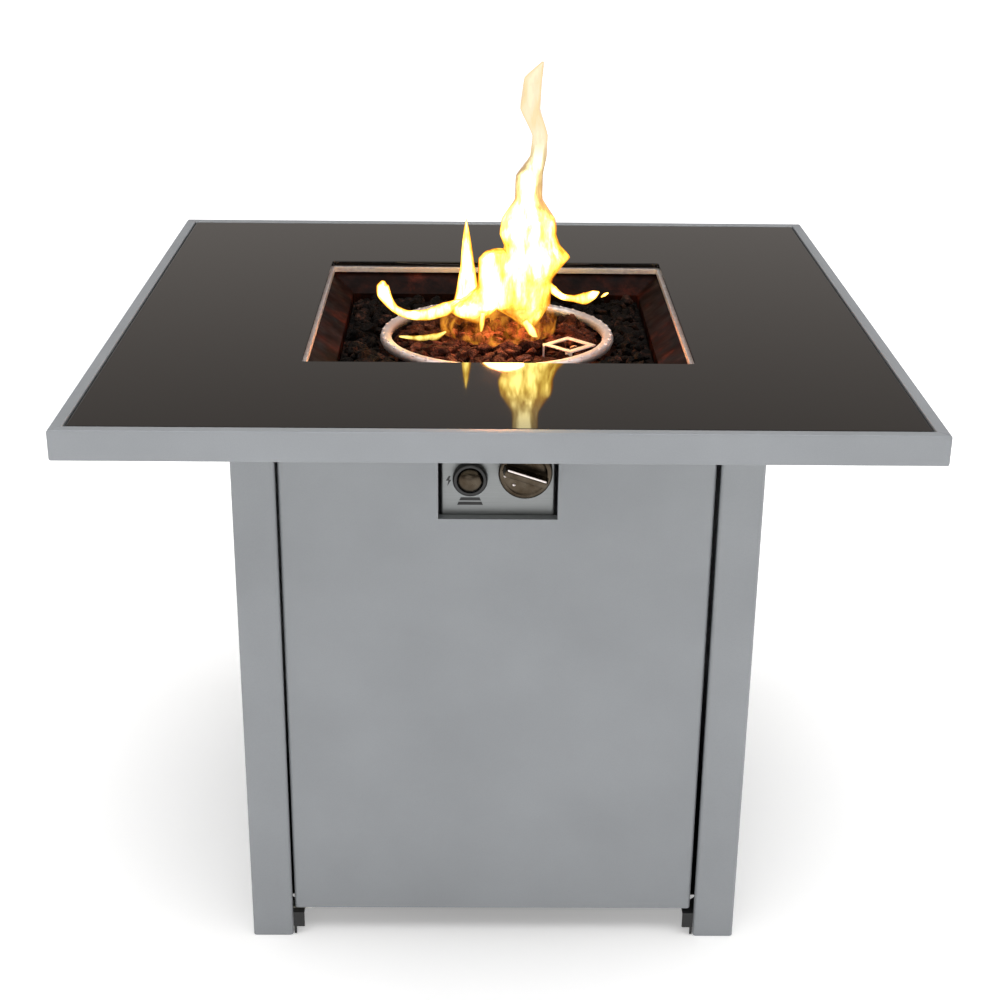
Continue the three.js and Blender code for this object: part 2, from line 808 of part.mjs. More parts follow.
// An angle under the deck, along X, with its upright face at y = -distance.
function angleRail(distance, reach) {
  const section = [
    [-distance, frameTop - RAIL_WIDTH],
    [-distance + RAIL_SHEET, frameTop - RAIL_WIDTH],
    [-distance + RAIL_SHEET, frameTop - RAIL_SHEET],
    [-distance + RAIL_WIDTH, frameTop - RAIL_SHEET],
    [-distance + RAIL_WIDTH, frameTop],
    [-distance, frameTop],
  ];
  return prismX(section, -reach, reach);
}

const FOOT_INSET = 28; // foot centre from the leg's outer faces
const PLATE_Z = 27.5;
const STUD_RADIUS = 4;

function footBracket() {
  const corner = -half + LEG_SHEET + GAP;
  const reach = 55;
  const shoulder = 15;
  const plan = [
    [corner + 3, corner],
    [corner + reach, corner],
    [corner + reach, corner + shoulder],
    [corner + shoulder, corner + reach],
    [corner, corner + reach],
    [corner, corner + 3],
  ];
  const foot = -half + FOOT_INSET;
  const lip = LEG_WIDTH - LEG_SHEET - GAP;
  const lipSlot = (x0, x1, y0, y1) => box(x0, x1, y0, y1, 0, 60);
  const edge = corner + lip;
  const stripStart = -half + LEG_WIDTH + GAP;
  const stripBottom = 1.5;
  const tabStart = stripStart + 3.2;
  const tabEnd = corner + reach;
  const tabBottom = 10.5;
  const overlap = 0.5;
  return joined(
    prismZ(plan, PLATE_Z, PLATE_Z + 2),
    box(tabStart, tabEnd, corner, corner + 2, tabBottom, PLATE_Z + 1),
    box(corner, corner + 2, tabStart, tabEnd, tabBottom, PLATE_Z + 1),
    box(stripStart, tabStart + overlap, corner, corner + 2, stripBottom, PLATE_Z + 1),
    box(corner, corner + 2, stripStart, tabStart + overlap, stripBottom, PLATE_Z + 1),
    prismZ(hexagon(foot, foot, 13), PLATE_Z - 6, PLATE_Z + 0.5),
  )
    .subtract(prismZ(circle(foot, foot, STUD_RADIUS + 0.4, 16), 0, 60))
    .subtract(lipSlot(edge - 2.5, edge + 1, corner - 1, -half + LEG_LIP + 1))
    .subtract(lipSlot(corner - 1, -half + LEG_LIP + 1, edge - 2.5, edge + 1));
}

function levellingFoot() {
  const foot = -half + FOOT_INSET;
  const pad = new THREE.LatheGeometry(
    [[0, 0], [18.5, 0], [20, 1.5], [19, 7], [10, 9], [0, 9]].map(
      ([r, z]) => new THREE.Vector2(r, z),
    ),
    24,
  )
    .rotateX(Math.PI / 2)
    .translate(foot, foot, 0);
  return joined(solid(pad), prismZ(circle(foot, foot, STUD_RADIUS, 16), 8, PLATE_Z + 18));
}

// The floor of the cylinder's bay, on the panels' lower returns, with its corners cut away round
// the feet. A welded ring keeps the cylinder's foot in place.
function cylinderTray() {
  const z = PANEL_BOTTOM + SHEET + GAP;
  const side = panelFace - SHEET - GAP;
  const front = -panelFace + PANEL_DEPTH + 8;
  const cut = 62;
  const frontCut = 32;
  const plan = [
    [-side + frontCut, front],
    [side - frontCut, front],
    [side, front + cut - 20],
    [side, side - cut],
    [side - cut, side],
    [-side + cut, side],
    [-side, side - cut],
    [-side, front + cut - 20],
  ];
  const upstand = prismY(rectangle(-side + cut, side - cut, z, z + 18), front, front + LEG_SHEET);
  return joined(prismZ(plan, z, z + LEG_SHEET), upstand).subtract(
    prismZ(circle(0, 0, 80, 24), z - 1, z + 20),
  );
}

// A shallow dished ring on the tray: the cylinder's foot stands on its flange, inside its wall.
function cylinderRing() {
  const z = PANEL_BOTTOM + SHEET + GAP + LEG_SHEET + GAP;
  return prismZ(circle(0, 0, 108, 32), z, z + 14)
    .subtract(prismZ(circle(0, 0, 106, 32), z + LEG_SHEET, z + 20))
    .subtract(prismZ(circle(0, 0, 86, 32), z - 1, z + 20));
}

function hingeBracketLower() {
  const z = PLATE_Z + 2 + GAP;
  const plan = rectangle(hingeX - 40, hingeX + 8, -half + LEG_LIP + 1, hingeY + 9);
  return prismZ(plan, z, z + 2).subtract(
    prismZ(circle(hingeX, hingeY, PIN_RADIUS + 0.15, 16), z - 1, z + 3),
  );
}

function hingeBracketUpper() {
  const z = DOOR_TOP + 2;
  const x0 = hingeX - 10;
  const x1 = hingeX + 14;
  return joined(
    box(x0, x1, -panelFace + 1, -railFace - GAP, z, z + 2),
    box(x0, x1, -railFace - GAP - 2, -railFace - GAP, z, z + 20),
  ).subtract(prismZ(circle(hingeX, hingeY, PIN_RADIUS + 0.15, 16), z - 1, z + 3));
}

// A headed pin through a door return and its bracket; the head bears on the bracket.
function hingePin(shankLow, shankHigh, headZ) {
  return joined(
    prismZ(circle(hingeX, hingeY, PIN_RADIUS, 16), shankLow, shankHigh),
    prismZ(circle(hingeX, hingeY, 5, 16), headZ, headZ + 2),
  );
}

const CATCH_X = 197;
const CATCH_Z = 587;

function magnetCatch() {
  const reach = 12;
  return joined(
    box(CATCH_X - reach, CATCH_X + reach, -panelFace + 3.3, -railFace - 2.5, CATCH_Z - 7, CATCH_Z + 7),
    box(CATCH_X - reach, CATCH_X + reach, -railFace - 3, -railFace - GAP, CATCH_Z - 7, CATCH_Z + 34),
  );
}

function strikePlate() {
  const y = -panelFace + SHEET + GAP;
  return box(CATCH_X - 10, CATCH_X + 10, y, y + 1.5, CATCH_Z - 6, CATCH_Z + 6);
}

function buildBase() {
  const group = new THREE.Group();
  const corners = ["front_left", "front_right", "back_right", "back_left"];
  const legSolid = leg();
  const bracket = footBracket();
  const foot = levellingFoot();
  corners.forEach((corner, i) => {
    const turn = (i * Math.PI) / 2;
    node(group, `leg_${corner}`, greyPaint, legSolid, [0, 0, 0], turn);
    node(group, `foot_bracket_${corner}`, blackPaint, bracket, [0, 0, 0], turn);
    node(group, `levelling_foot_${corner}`, rubber, foot, [0, 0, 0], turn);
  });

  const side = sidePanel();
  node(group, "panel_right", greyPaint, side, [panelFace, 0, 0], Math.PI / 2);
  node(group, "panel_left", greyPaint, side, [-panelFace, 0, 0], -Math.PI / 2);
  node(group, "panel_back", greyPaint, backPanel(), [0, panelFace, 0], Math.PI);
  node(group, "front_door", greyPaint, door(), [0, -panelFace, 0]);

  const longReach = half - LEG_LIP - 2;
  const shortReach = railFace - RAIL_WIDTH - GAP;
  const inner = angleRail(railFace, longReach);
  node(group, "top_rail_front", blackPaint, inner);
  node(group, "top_rail_back", blackPaint, inner, [0, 0, 0], Math.PI);
  const short = angleRail(railFace, shortReach);
  node(group, "top_rail_right", blackPaint, short, [0, 0, 0], Math.PI / 2);
  node(group, "top_rail_left", blackPaint, short, [0, 0, 0], -Math.PI / 2);

  node(group, "cylinder_tray", blackPaint, cylinderTray());
  node(group, "cylinder_ring", blackPaint, cylinderRing());
  node(group, "hinge_bracket_lower", galvanised, hingeBracketLower());
  node(group, "hinge_bracket_upper", galvanised, hingeBracketUpper());
  const lowerPin = hingePin(PLATE_Z + 2 + 2 * GAP, PANEL_BOTTOM + 12, PLATE_Z + 4 + 2 * GAP);
  const upperPin = hingePin(DOOR_TOP - 10, DOOR_TOP + 5, DOOR_TOP + 4 + GAP);
  node(group, "hinge_pin_lower", galvanised, lowerPin);
  node(group, "hinge_pin_upper", galvanised, upperPin);
  node(group, "magnet_catch", plastic, magnetCatch());
  node(group, "strike_plate", galvanised, strikePlate());
  return group;
}

// ---------------------------------------------------------------- the whole table
const table = new THREE.Group();
table.add(buildTabletop(), buildBurner(), buildControls(), buildBase());

export default table;
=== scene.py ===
"""Looks for a gas fire pit table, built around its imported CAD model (metres, +Z up, front at -Y)."""

import json
import math
import random

import bmesh
import bpy
import numpy as np
from mathutils import Matrix, Vector, noise

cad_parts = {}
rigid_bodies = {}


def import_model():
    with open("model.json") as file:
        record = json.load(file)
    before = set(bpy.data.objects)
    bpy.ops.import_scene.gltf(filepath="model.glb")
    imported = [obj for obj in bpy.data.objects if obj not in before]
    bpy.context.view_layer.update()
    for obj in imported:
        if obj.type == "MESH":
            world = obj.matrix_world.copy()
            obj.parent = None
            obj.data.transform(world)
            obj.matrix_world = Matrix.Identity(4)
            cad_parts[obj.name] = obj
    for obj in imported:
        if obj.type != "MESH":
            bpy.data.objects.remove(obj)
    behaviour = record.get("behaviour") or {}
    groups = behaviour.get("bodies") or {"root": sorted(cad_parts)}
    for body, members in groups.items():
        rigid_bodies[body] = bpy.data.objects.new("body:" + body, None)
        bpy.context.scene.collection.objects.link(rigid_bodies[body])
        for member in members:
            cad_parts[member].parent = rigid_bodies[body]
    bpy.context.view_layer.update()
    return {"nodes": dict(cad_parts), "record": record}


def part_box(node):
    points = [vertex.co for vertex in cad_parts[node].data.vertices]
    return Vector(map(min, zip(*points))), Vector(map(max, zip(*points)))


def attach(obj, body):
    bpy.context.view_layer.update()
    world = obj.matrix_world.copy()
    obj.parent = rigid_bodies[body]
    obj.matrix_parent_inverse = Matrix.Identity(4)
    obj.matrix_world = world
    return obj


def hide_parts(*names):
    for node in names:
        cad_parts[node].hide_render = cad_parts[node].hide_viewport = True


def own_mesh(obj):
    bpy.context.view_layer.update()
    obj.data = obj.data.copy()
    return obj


for leftover in list(bpy.data.objects):
    bpy.data.objects.remove(leftover)

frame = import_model()
nodes = frame["nodes"]
slot_of = {part["node"]: part["material_slot"] for part in frame["record"]["subparts"]}
scene = bpy.context.scene
MM = 0.001


# ---------------------------------------------------------------- camera and light
CAMERA_PLACE = (-0.0205, -1.8694, 1.1850)
CAMERA_YAW, CAMERA_PITCH, CAMERA_ROLL = 0.801, 22.395, 0.642
CAMERA_LENS = 62.61
SENSOR_WIDTH = 36
FAR_CLIP = 200


def look_from(place, yaw, pitch, roll):
    """A camera matrix: yaw turns right, pitch looks down and roll leans right, in degrees."""
    yaw, pitch, roll = (math.radians(v) for v in (yaw, pitch, roll))
    ahead = Vector((math.sin(yaw) * math.cos(pitch), math.cos(yaw) * math.cos(pitch), -math.sin(pitch)))
    level = Vector((math.cos(yaw), -math.sin(yaw), 0))
    up = level.cross(ahead)
    right = level * math.cos(roll) + up * math.sin(roll)
    top = up * math.cos(roll) - level * math.sin(roll)
    turn = Matrix((right, top, -ahead)).transposed().to_4x4()
    return Matrix.Translation(place) @ turn


camera = bpy.data.objects.new("camera", bpy.data.cameras.new("camera"))
scene.collection.objects.link(camera)
camera.matrix_world = look_from(CAMERA_PLACE, CAMERA_YAW, CAMERA_PITCH, CAMERA_ROLL)
camera.data.sensor_width = SENSOR_WIDTH
camera.data.lens = CAMERA_LENS
camera.data.clip_end = FAR_CLIP
scene.camera = camera


def add_light(name, kind, place, power, color=(1, 1, 1), aim=None, size=None, radius=None):
    lamp = bpy.data.lights.new(name, kind)
    lamp.energy = power
    lamp.color = color
    if size:
        lamp.shape = "RECTANGLE"
        lamp.size, lamp.size_y = size
    if radius:
        lamp.shadow_soft_size = radius
    holder = bpy.data.objects.new(name, lamp)
    holder.location = place
    if aim:
        holder.rotation_euler = (Vector(aim) - Vector(place)).to_track_quat("-Z", "Y").to_euler()
    scene.collection.objects.link(holder)


add_light("overhead_softbox", "AREA", (0, -0.6, 3.2), 88, aim=(0, 0, 0.2), size=(3.8, 3.2))
add_light("front_softbox", "AREA", (-0.7, -3.6, 1.9), 12.5, aim=(0, 0, 0.5), size=(2.6, 1.8))
add_light("side_softbox", "AREA", (3.2, -1.2, 2.0), 15, aim=(0, 0, 0.4), size=(1.8, 1.8))
add_light("fire_glow", "POINT", (0.01, -0.02, 0.672), 2.9, color=(1.0, 0.33, 0.13), radius=0.04)


def studio_world():
    """A white horizon under dim warm surroundings, which the glass mirrors."""
    world = bpy.data.worlds.new("studio")
    world.use_nodes = True
    tree = world.node_tree
    height = tree.nodes.new("ShaderNodeSeparateXYZ")
    tree.links.new(tree.nodes.new("ShaderNodeTexCoord").outputs["Generated"], height.inputs[0])
    bands = tree.nodes.new("ShaderNodeValToRGB")
    tree.links.new(height.outputs["Z"], bands.inputs["Fac"])
    levels = (
        (0.0, (1.0, 1.0, 1.0)),
        (0.09, (0.85, 0.85, 0.85)),
        (0.17, (0.42, 0.39, 0.365)),
        (0.26, (0.335, 0.307, 0.284)),
        (0.36, (0.225, 0.202, 0.185)),
        (0.52, (0.155, 0.137, 0.124)),
        (0.75, (0.30, 0.30, 0.30)),
    )
    while len(bands.color_ramp.elements) < len(levels):
        bands.color_ramp.elements.new(0.5)
    for element, (at, color) in zip(bands.color_ramp.elements, levels):
        element.position = at
        element.color = (*color, 1)
    tree.links.new(bands.outputs["Color"], tree.nodes["Background"].inputs["Color"])
    scene.world = world


studio_world()
scene.view_settings.view_transform = "Standard"


# ---------------------------------------------------------------- procedural materials
class Finish:
    """A Principled material and short ways to wire nodes into it."""

    def __init__(self, name, color, roughness, metallic=0.0, specular=0.5):
        self.material = bpy.data.materials.new(name)
        self.material.use_nodes = True
        self.tree = self.material.node_tree
        self.shader = self.tree.nodes["Principled BSDF"]
        self.place = self.node("ShaderNodeTexCoord").outputs["Object"]
        self.set("Base Color", (*color, 1))
        self.set("Roughness", roughness)
        self.set("Metallic", metallic)
        self.set("Specular IOR Level", specular)

    def node(self, kind, inputs=None, **settings):
        made = self.tree.nodes.new(kind)
        for key, value in settings.items():
            setattr(made, key, value)
        for key, value in (inputs or {}).items():
            self.wire(value, made.inputs[key])
        return made

    def wire(self, value, socket):
        if isinstance(value, bpy.types.NodeSocket):
            self.tree.links.new(value, socket)
        else:
            socket.default_value = value

    def set(self, socket, value):
        self.wire(value, self.shader.inputs[socket])

    def stretched(self, scale):
        return self.node("ShaderNodeMapping", {"Vector": self.place, "Scale": scale}).outputs["Vector"]

    def noise(self, scale, detail=3.0, roughness=0.5, vector=None):
        inputs = {"Vector": vector or self.place, "Scale": scale, "Detail": detail,
                  "Roughness": roughness}
        return self.node("ShaderNodeTexNoise", inputs).outputs["Fac"]

    def cells(self, scale, feature="F1"):
        return self.node("ShaderNodeTexVoronoi", {"Vector": self.place, "Scale": scale},
                         feature=feature).outputs["Distance"]

    def ramp(self, fac, *stops):
        made = self.node("ShaderNodeValToRGB", {"Fac": fac})
        bar = made.color_ramp
        while len(bar.elements) < len(stops):
            bar.elements.new(0.5)
        for element, (at, color) in zip(bar.elements, stops):
            element.position = at
            element.color = (*color, 1) if isinstance(color, tuple) else (color, color, color, 1)
        return made.outputs["Color"]

    def mix(self, fac, a, b):
        made = self.node("ShaderNodeMix", data_type="RGBA")
        for index, value in ((0, fac), (6, a), (7, b)):
            self.wire((*value, 1) if isinstance(value, tuple) else value, made.inputs[index])
        return made.outputs[2]

    def multiply(self, a, b):
        made = self.node("ShaderNodeMix", {0: 1.0, 6: a, 7: b}, data_type="RGBA", blend_type="MULTIPLY")
        return made.outputs[2]

    def math(self, operation, a, b):
        return self.node("ShaderNodeMath", {0: a, 1: b}, operation=operation).outputs[0]

    def axis(self, name):
        return self.node("ShaderNodeSeparateXYZ", {"Vector": self.place}).outputs[name]

    def between(self, value, low, high):
        made = self.node("ShaderNodeMapRange", {"Value": value, "From Min": low, "From Max": high})
        return made.outputs["Result"]

    def thin_out(self, glow, clearness):
        """Makes the surface a glow that lets what is behind it show through by clearness."""
        clear = self.node("ShaderNodeBsdfTransparent")
        veil = self.node("ShaderNodeMixShader", {0: clearness, 1: glow.outputs[0], 2: clear.outputs[0]})
        self.wire(veil.outputs[0], self.tree.nodes["Material Output"].inputs["Surface"])

    def bump(self, height, strength, depth):
        previous = self.shader.inputs["Normal"]
        inputs = {"Height": height, "Strength": strength, "Distance": depth}
        if previous.is_linked:
            inputs["Normal"] = previous.links[0].from_socket
        self.set("Normal", self.node("ShaderNodeBump", inputs).outputs["Normal"])


def powder_coat(name, color, roughness, peel=0.25):
    """Sprayed and baked paint: a fine orange peel, faint mottling and slight scuffs in the gloss."""
    finish = Finish(name, color, roughness)
    mottle = finish.noise(9, 4)
    darker = tuple(v * 0.94 for v in color)
    lighter = tuple(min(1.0, v * 1.05) for v in color)
    speck = finish.ramp(finish.noise(900, 2), (0.30, 0.96), (0.62, 1.0))
    shade = finish.ramp(mottle, (0.3, darker), (0.7, lighter))
    finish.set("Base Color", finish.multiply(shade, speck))
    gloss = finish.ramp(finish.noise(35, 5, 0.6), (0.3, roughness - 0.05), (0.75, roughness + 0.08))
    finish.set("Roughness", gloss)
    finish.bump(finish.noise(420, 2), peel, 0.12 * MM)
    finish.bump(finish.noise(1500, 1), peel * 0.6, 0.04 * MM)
    return finish


def grey_paint():
    return powder_coat("grey_paint", (0.272, 0.287, 0.304), 0.42)


def black_paint():
    return powder_coat("black_paint", (0.009, 0.009, 0.0095), 0.5, 0.35)


def black_glass():
    finish = Finish("black_glass", (0.006, 0.005, 0.0045), 0.045)
    finish.set("IOR", 1.52)
    smudge = finish.noise(6, 6, 0.65, finish.stretched((1, 1.6, 1)))
    finish.set("Roughness", finish.ramp(smudge, (0.35, 0.035), (0.8, 0.075)))
    dust = finish.ramp(finish.noise(1300, 1), (0.70, 0.0), (0.78, 1.0))
    finish.set("Base Color", finish.mix(dust, (0.006, 0.005, 0.0045), (0.02, 0.018, 0.016)))
    return finish


def brushed(name, color, roughness, grain=(4, 4, 220), tint=None, strength=0.12):
    """Metal brushed along one axis: the grain is fine across it and long along it."""
    finish = Finish(name, color, roughness, metallic=1.0)
    lines = finish.noise(9, 4, 0.6, finish.stretched(grain))
    cloudy = finish.noise(16, 4, 0.6)
    low, high = tuple(v * 0.86 for v in color), tuple(min(1.0, v * 1.08) for v in color)
    shade = finish.ramp(lines, (0.3, low), (0.7, high))
    if tint:
        shade = finish.mix(finish.ramp(cloudy, (0.42, 0.0), (0.68, 0.75)), shade, tint)
    finish.set("Base Color", shade)
    rougher = min(1.0, roughness * 1.4)
    finish.set("Roughness", finish.ramp(lines, (0.25, roughness * 0.75), (0.8, rougher)))
    finish.bump(lines, strength, 0.05 * MM)
    return finish


def stainless():
    return brushed("stainless", (0.95, 0.87, 0.85), 0.5, (25, 25, 25),
                   tint=(0.88, 0.70, 0.64), strength=0.04)


def satin_steel():
    return brushed("satin_steel", (0.245, 0.255, 0.255), 0.42, (3, 30, 190))


def chrome():
    """Plated metal with a dark bronze-grey base colour, which is a painted reflection of warm surroundings
    and painted shade under the table top, with fine handling marks.
    """
    finish = Finish("chrome", (0.09, 0.075, 0.06), 0.24, metallic=1.0)
    finish.set("Roughness", finish.ramp(finish.noise(120, 4, 0.6), (0.3, 0.17), (0.8, 0.34)))
    # painted reflection and shade: the base colour is darkened and tinted bronze
    finish.set("Base Color", finish.ramp(finish.noise(70, 4), (0.3, (0.042, 0.030, 0.019)),
                                         (0.7, (0.095, 0.078, 0.058))))
    return finish


def heat_tinted_steel():
    """Sheet steel browned by the fire, with patchy soot and red-brown streaks: partly heat bloom, partly a
    painted reflection of the flames.
    """
    finish = Finish("heat_tinted_steel", (0.03, 0.018, 0.014), 0.5, metallic=0.0, specular=0.04)
    streaks = finish.noise(9, 5, 0.65, finish.stretched((3, 3, 0.7)))
    # partly heat bloom, partly a painted reflection of the flames: red-brown streaks on the dark wall
    bloom_and_flame_reflection = finish.ramp(streaks, (0.35, (0.006, 0.003, 0.0025)), (0.55, (0.018, 0.005, 0.003)),
                        (0.72, (0.085, 0.014, 0.006)))
    soot = finish.ramp(finish.noise(60, 6, 0.7), (0.35, 0.25), (0.65, 1.0))
    finish.set("Base Color", finish.multiply(bloom_and_flame_reflection, soot))
    finish.set("Roughness", finish.ramp(finish.noise(45, 5), (0.3, 0.34), (0.7, 0.62)))
    finish.bump(finish.noise(240, 4, 0.6), 0.3, 0.2 * MM)
    return finish


def zinc_plate():
    finish = brushed("zinc_plate", (0.56, 0.57, 0.55), 0.36, (50, 50, 50),
                     tint=(0.60, 0.56, 0.40), strength=0.1)
    finish.bump(finish.noise(500, 3), 0.15, 0.08 * MM)
    return finish


def brass():
    return brushed("brass", (0.72, 0.52, 0.22), 0.3, (40, 40, 40),
                   tint=(0.42, 0.28, 0.12), strength=0.15)


def aluminium():
    finish = brushed("aluminium", (0.66, 0.67, 0.68), 0.4, (60, 60, 60), strength=0.15)
    finish.bump(finish.noise(700, 2), 0.25, 0.1 * MM)
    return finish


def rubber():
    finish = Finish("rubber", (0.012, 0.012, 0.012), 0.72, specular=0.35)
    finish.set("Base Color", finish.ramp(finish.noise(70, 4), (0.3, 0.008), (0.7, 0.018)))
    finish.set("Roughness", finish.ramp(finish.noise(50, 4), (0.3, 0.62), (0.7, 0.85)))
    finish.bump(finish.noise(1100, 3), 0.3, 0.08 * MM)
    return finish


def black_plastic():
    finish = Finish("black_plastic", (0.015, 0.015, 0.016), 0.4, specular=0.45)
    finish.set("Base Color", finish.ramp(finish.noise(40, 3), (0.3, 0.011), (0.7, 0.019)))
    finish.set("Roughness", finish.ramp(finish.noise(90, 4), (0.3, 0.32), (0.7, 0.5)))
    finish.bump(finish.cells(1300), 0.2, 0.06 * MM)
    return finish


def ceramic():
    """The electrode's glazed sleeve, with its wire tip darkened by the flame."""
    finish = Finish("ceramic", (0.78, 0.75, 0.68), 0.3)
    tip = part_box("spark_electrode")[1].z - 7 * MM
    is_wire = finish.between(finish.axis("Z"), tip, tip + 0.5 * MM)
    glaze = finish.ramp(finish.noise(60, 4), (0.3, (0.62, 0.56, 0.46)), (0.7, (0.82, 0.79, 0.72)))
    finish.set("Base Color", finish.mix(is_wire, glaze, (0.30, 0.24, 0.2)))
    finish.set("Metallic", is_wire)
    finish.set("Roughness", finish.ramp(finish.noise(200, 3), (0.3, 0.22), (0.7, 0.4)))
    return finish


def lava_rock():
    """Porous basalt, pitted at two scales: black outside the burner ring, and inside it a red-brown
    painted glow that stands for the flames' light.
    """
    finish = Finish("lava_rock", (0.03, 0.02, 0.017), 0.8, specular=0.07)
    patches = finish.noise(55, 5, 0.65)
    fine = finish.noise(420, 6, 0.7)
    cold = finish.ramp(patches, (0.34, (0.002, 0.0016, 0.0014)), (0.55, (0.006, 0.004, 0.0032)),
                       (0.64, (0.035, 0.015, 0.010)), (0.76, (0.12, 0.055, 0.038)))
    # painted light: this red-brown is the flames' light on the rocks inside the ring, not a colour of the
    # rock
    painted_firelight = finish.ramp(patches, (0.32, (0.008, 0.003, 0.002)), (0.50, (0.040, 0.012, 0.007)),
                        (0.62, (0.12, 0.040, 0.022)), (0.76, (0.30, 0.13, 0.085)))
    flat = finish.node("ShaderNodeVectorMath", {0: finish.place, 1: (1, 1, 0)}, operation="MULTIPLY")
    away = finish.node("ShaderNodeVectorMath", {0: flat.outputs[0]}, operation="LENGTH").outputs["Value"]
    painted_firelight_mask = finish.between(away, 0.135, 0.100)
    shade = finish.mix(painted_firelight_mask, cold, painted_firelight)
    grit = finish.ramp(fine, (0.32, 0.35), (0.66, 1.3))
    finish.set("Base Color", finish.multiply(shade, grit))
    finish.set("Roughness", finish.ramp(fine, (0.40, 0.92), (0.68, 0.42)))
    pits = finish.ramp(finish.cells(330), (0.0, 0.0), (0.45, 1.0))
    finish.bump(pits, 0.9, 1.3 * MM)
    finish.bump(fine, 0.7, 0.7 * MM)
    return finish


FINISHES = {make.__name__: make().material for make in (
    grey_paint, black_paint, black_glass, stainless, satin_steel, chrome, heat_tinted_steel,
    zinc_plate, brass, aluminium, rubber, black_plastic, ceramic, lava_rock)}


# ---------------------------------------------------------------- dressing of the CAD pieces
def soft_shading(limit):
    """A geometry-nodes group: smooth faces, with edges kept sharp where they turn past the limit."""
    group = bpy.data.node_groups.new(f"soft_shading_{limit}", "GeometryNodeTree")
    group.interface.new_socket("Geometry", in_out="INPUT", socket_type="NodeSocketGeometry")
    group.interface.new_socket("Geometry", in_out="OUTPUT", socket_type="NodeSocketGeometry")
    new, link = group.nodes.new, group.links.new
    start, end = new("NodeGroupInput"), new("NodeGroupOutput")
    faces, edges = new("GeometryNodeSetShadeSmooth"), new("GeometryNodeSetShadeSmooth")
    edges.domain = "EDGE"
    angle, compare = new("GeometryNodeInputMeshEdgeAngle"), new("FunctionNodeCompare")
    compare.operation = "LESS_EQUAL"
    compare.inputs[1].default_value = math.radians(limit)
    link(start.outputs[0], faces.inputs["Geometry"])
    link(faces.outputs[0], edges.inputs["Geometry"])
    link(angle.outputs["Unsigned Angle"], compare.inputs[0])
    link(compare.outputs[0], edges.inputs["Shade Smooth"])
    link(edges.outputs[0], end.inputs[0])
    return group


SMOOTH_40 = soft_shading(40)
EDGE_RADIUS = {"tabletop_glass": 1.0, "opening_trim": 0.5, "front_door": 0.6, "control_plate": 0.6}
USUAL_EDGE = 0.4
SHARED_VERTEX = 2e-6  # metres
FLAT_ANGLE = math.radians(0.4)
EDGE_ANGLE = math.radians(42)


def add_smoothing(piece, weigh=True):
    piece.modifiers.new("smooth", "NODES").node_group = SMOOTH_40
    if weigh:
        weighted = piece.modifiers.new("weighted", "WEIGHTED_NORMAL")
        weighted.keep_sharp = True
        weighted.weight = 60


def dress(node):
    """Rounds a CAD piece's edges slightly and gives it its slot's finish; its mesh stays as it is."""
    piece = nodes[node]
    loose = piece.data.attributes.get("custom_normal")
    if loose:
        piece.data.attributes.remove(loose)
    weld = piece.modifiers.new("weld", "WELD")
    weld.merge_threshold = SHARED_VERTEX
    flat = piece.modifiers.new("flat", "DECIMATE")
    flat.decimate_type = "DISSOLVE"
    flat.angle_limit = FLAT_ANGLE
    bevel = piece.modifiers.new("bevel", "BEVEL")
    bevel.width = EDGE_RADIUS.get(node, USUAL_EDGE) * MM
    bevel.segments = 2
    bevel.limit_method = "ANGLE"
    bevel.angle_limit = EDGE_ANGLE
    bevel.use_clamp_overlap = True
    add_smoothing(piece)
    piece.data.materials.clear()
    piece.data.materials.append(FINISHES[slot_of[node]])


for node in nodes:
    dress(node)


# ---------------------------------------------------------------- pieces that refine a CAD solid
def add_piece(name, mesh, body, slot=None, material=None, stands_for=()):
    made = bpy.data.objects.new(name, mesh)
    scene.collection.objects.link(made)
    mesh.materials.append(material or FINISHES[slot])
    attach(made, body)
    if stands_for:
        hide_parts(*stands_for)
    return made


def mesh_from(builder, name):
    mesh = bpy.data.meshes.new(name)
    builder.to_mesh(mesh)
    builder.free()
    return mesh


def lathe(builder, profile, x, z, steps=96):
    """A closed turned body on a line parallel to Y, from a profile of (radius, y)."""
    rings = []
    for radius, y in profile:
        if radius < 1e-6:
            rings.append([builder.verts.new((x, y, z))])
            continue
        ring = []
        for i in range(steps):
            angle = 2 * math.pi * i / steps
            across, up = radius * math.cos(angle), radius * math.sin(angle)
            ring.append(builder.verts.new((x + across, y, z + up)))
        rings.append(ring)
    for a, b in zip(rings, rings[1:]):
        for i in range(steps):
            j = (i + 1) % steps
            corners = [a[i % len(a)], a[j % len(a)], b[j % len(b)], b[i % len(b)]]
            unique = list(dict.fromkeys(corners))
            if len(unique) > 2:
                builder.faces.new(unique)
    bmesh.ops.recalc_face_normals(builder, faces=builder.faces)


# ---------------------------------------------------------------- lava rock
ROCK_SEED = 11
ROCK_STEP = 13.5 * MM
ROCK_SHAPES = 14  # different lumps at each level of detail
FILLER_CELLS = 68
bed_low, bed_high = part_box("lava_rock_bed")
ring_low, ring_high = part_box("burner_ring")
RING_TUBE = 6.35 * MM
RING_RADIUS = ring_high.x - RING_TUBE
RING_Z = ring_high.z - RING_TUBE
bracket_low, bracket_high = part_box("spark_bracket")
BRACKET = (bracket_low + bracket_high) / 2
BRACKET_REACH = (bracket_high.x - bracket_low.x) / 2
BED_EDGE = bed_high.x


def bed_level(x, y):
    """How high the rock lies: level outside the ring and heaped up inside it."""
    away = math.hypot(x, y)
    heap = max(0.0, 1 - away / (RING_RADIUS - 8 * MM))
    return bed_high.z - 16 * MM + 10 * MM * min(1.0, heap * 2.0)


def clear_of_burner(x, y, z, reach):
    from_ring = math.hypot(math.hypot(x, y) - RING_RADIUS, z - RING_Z)
    if from_ring < RING_TUBE + reach * 0.82:
        return False
    beside = (abs(x - BRACKET.x) + abs(y - BRACKET.y)) / math.sqrt(2)
    clear_beside = beside > BRACKET_REACH / math.sqrt(2) + reach * 0.7
    return clear_beside or z + reach < bracket_high.z - 4 * MM


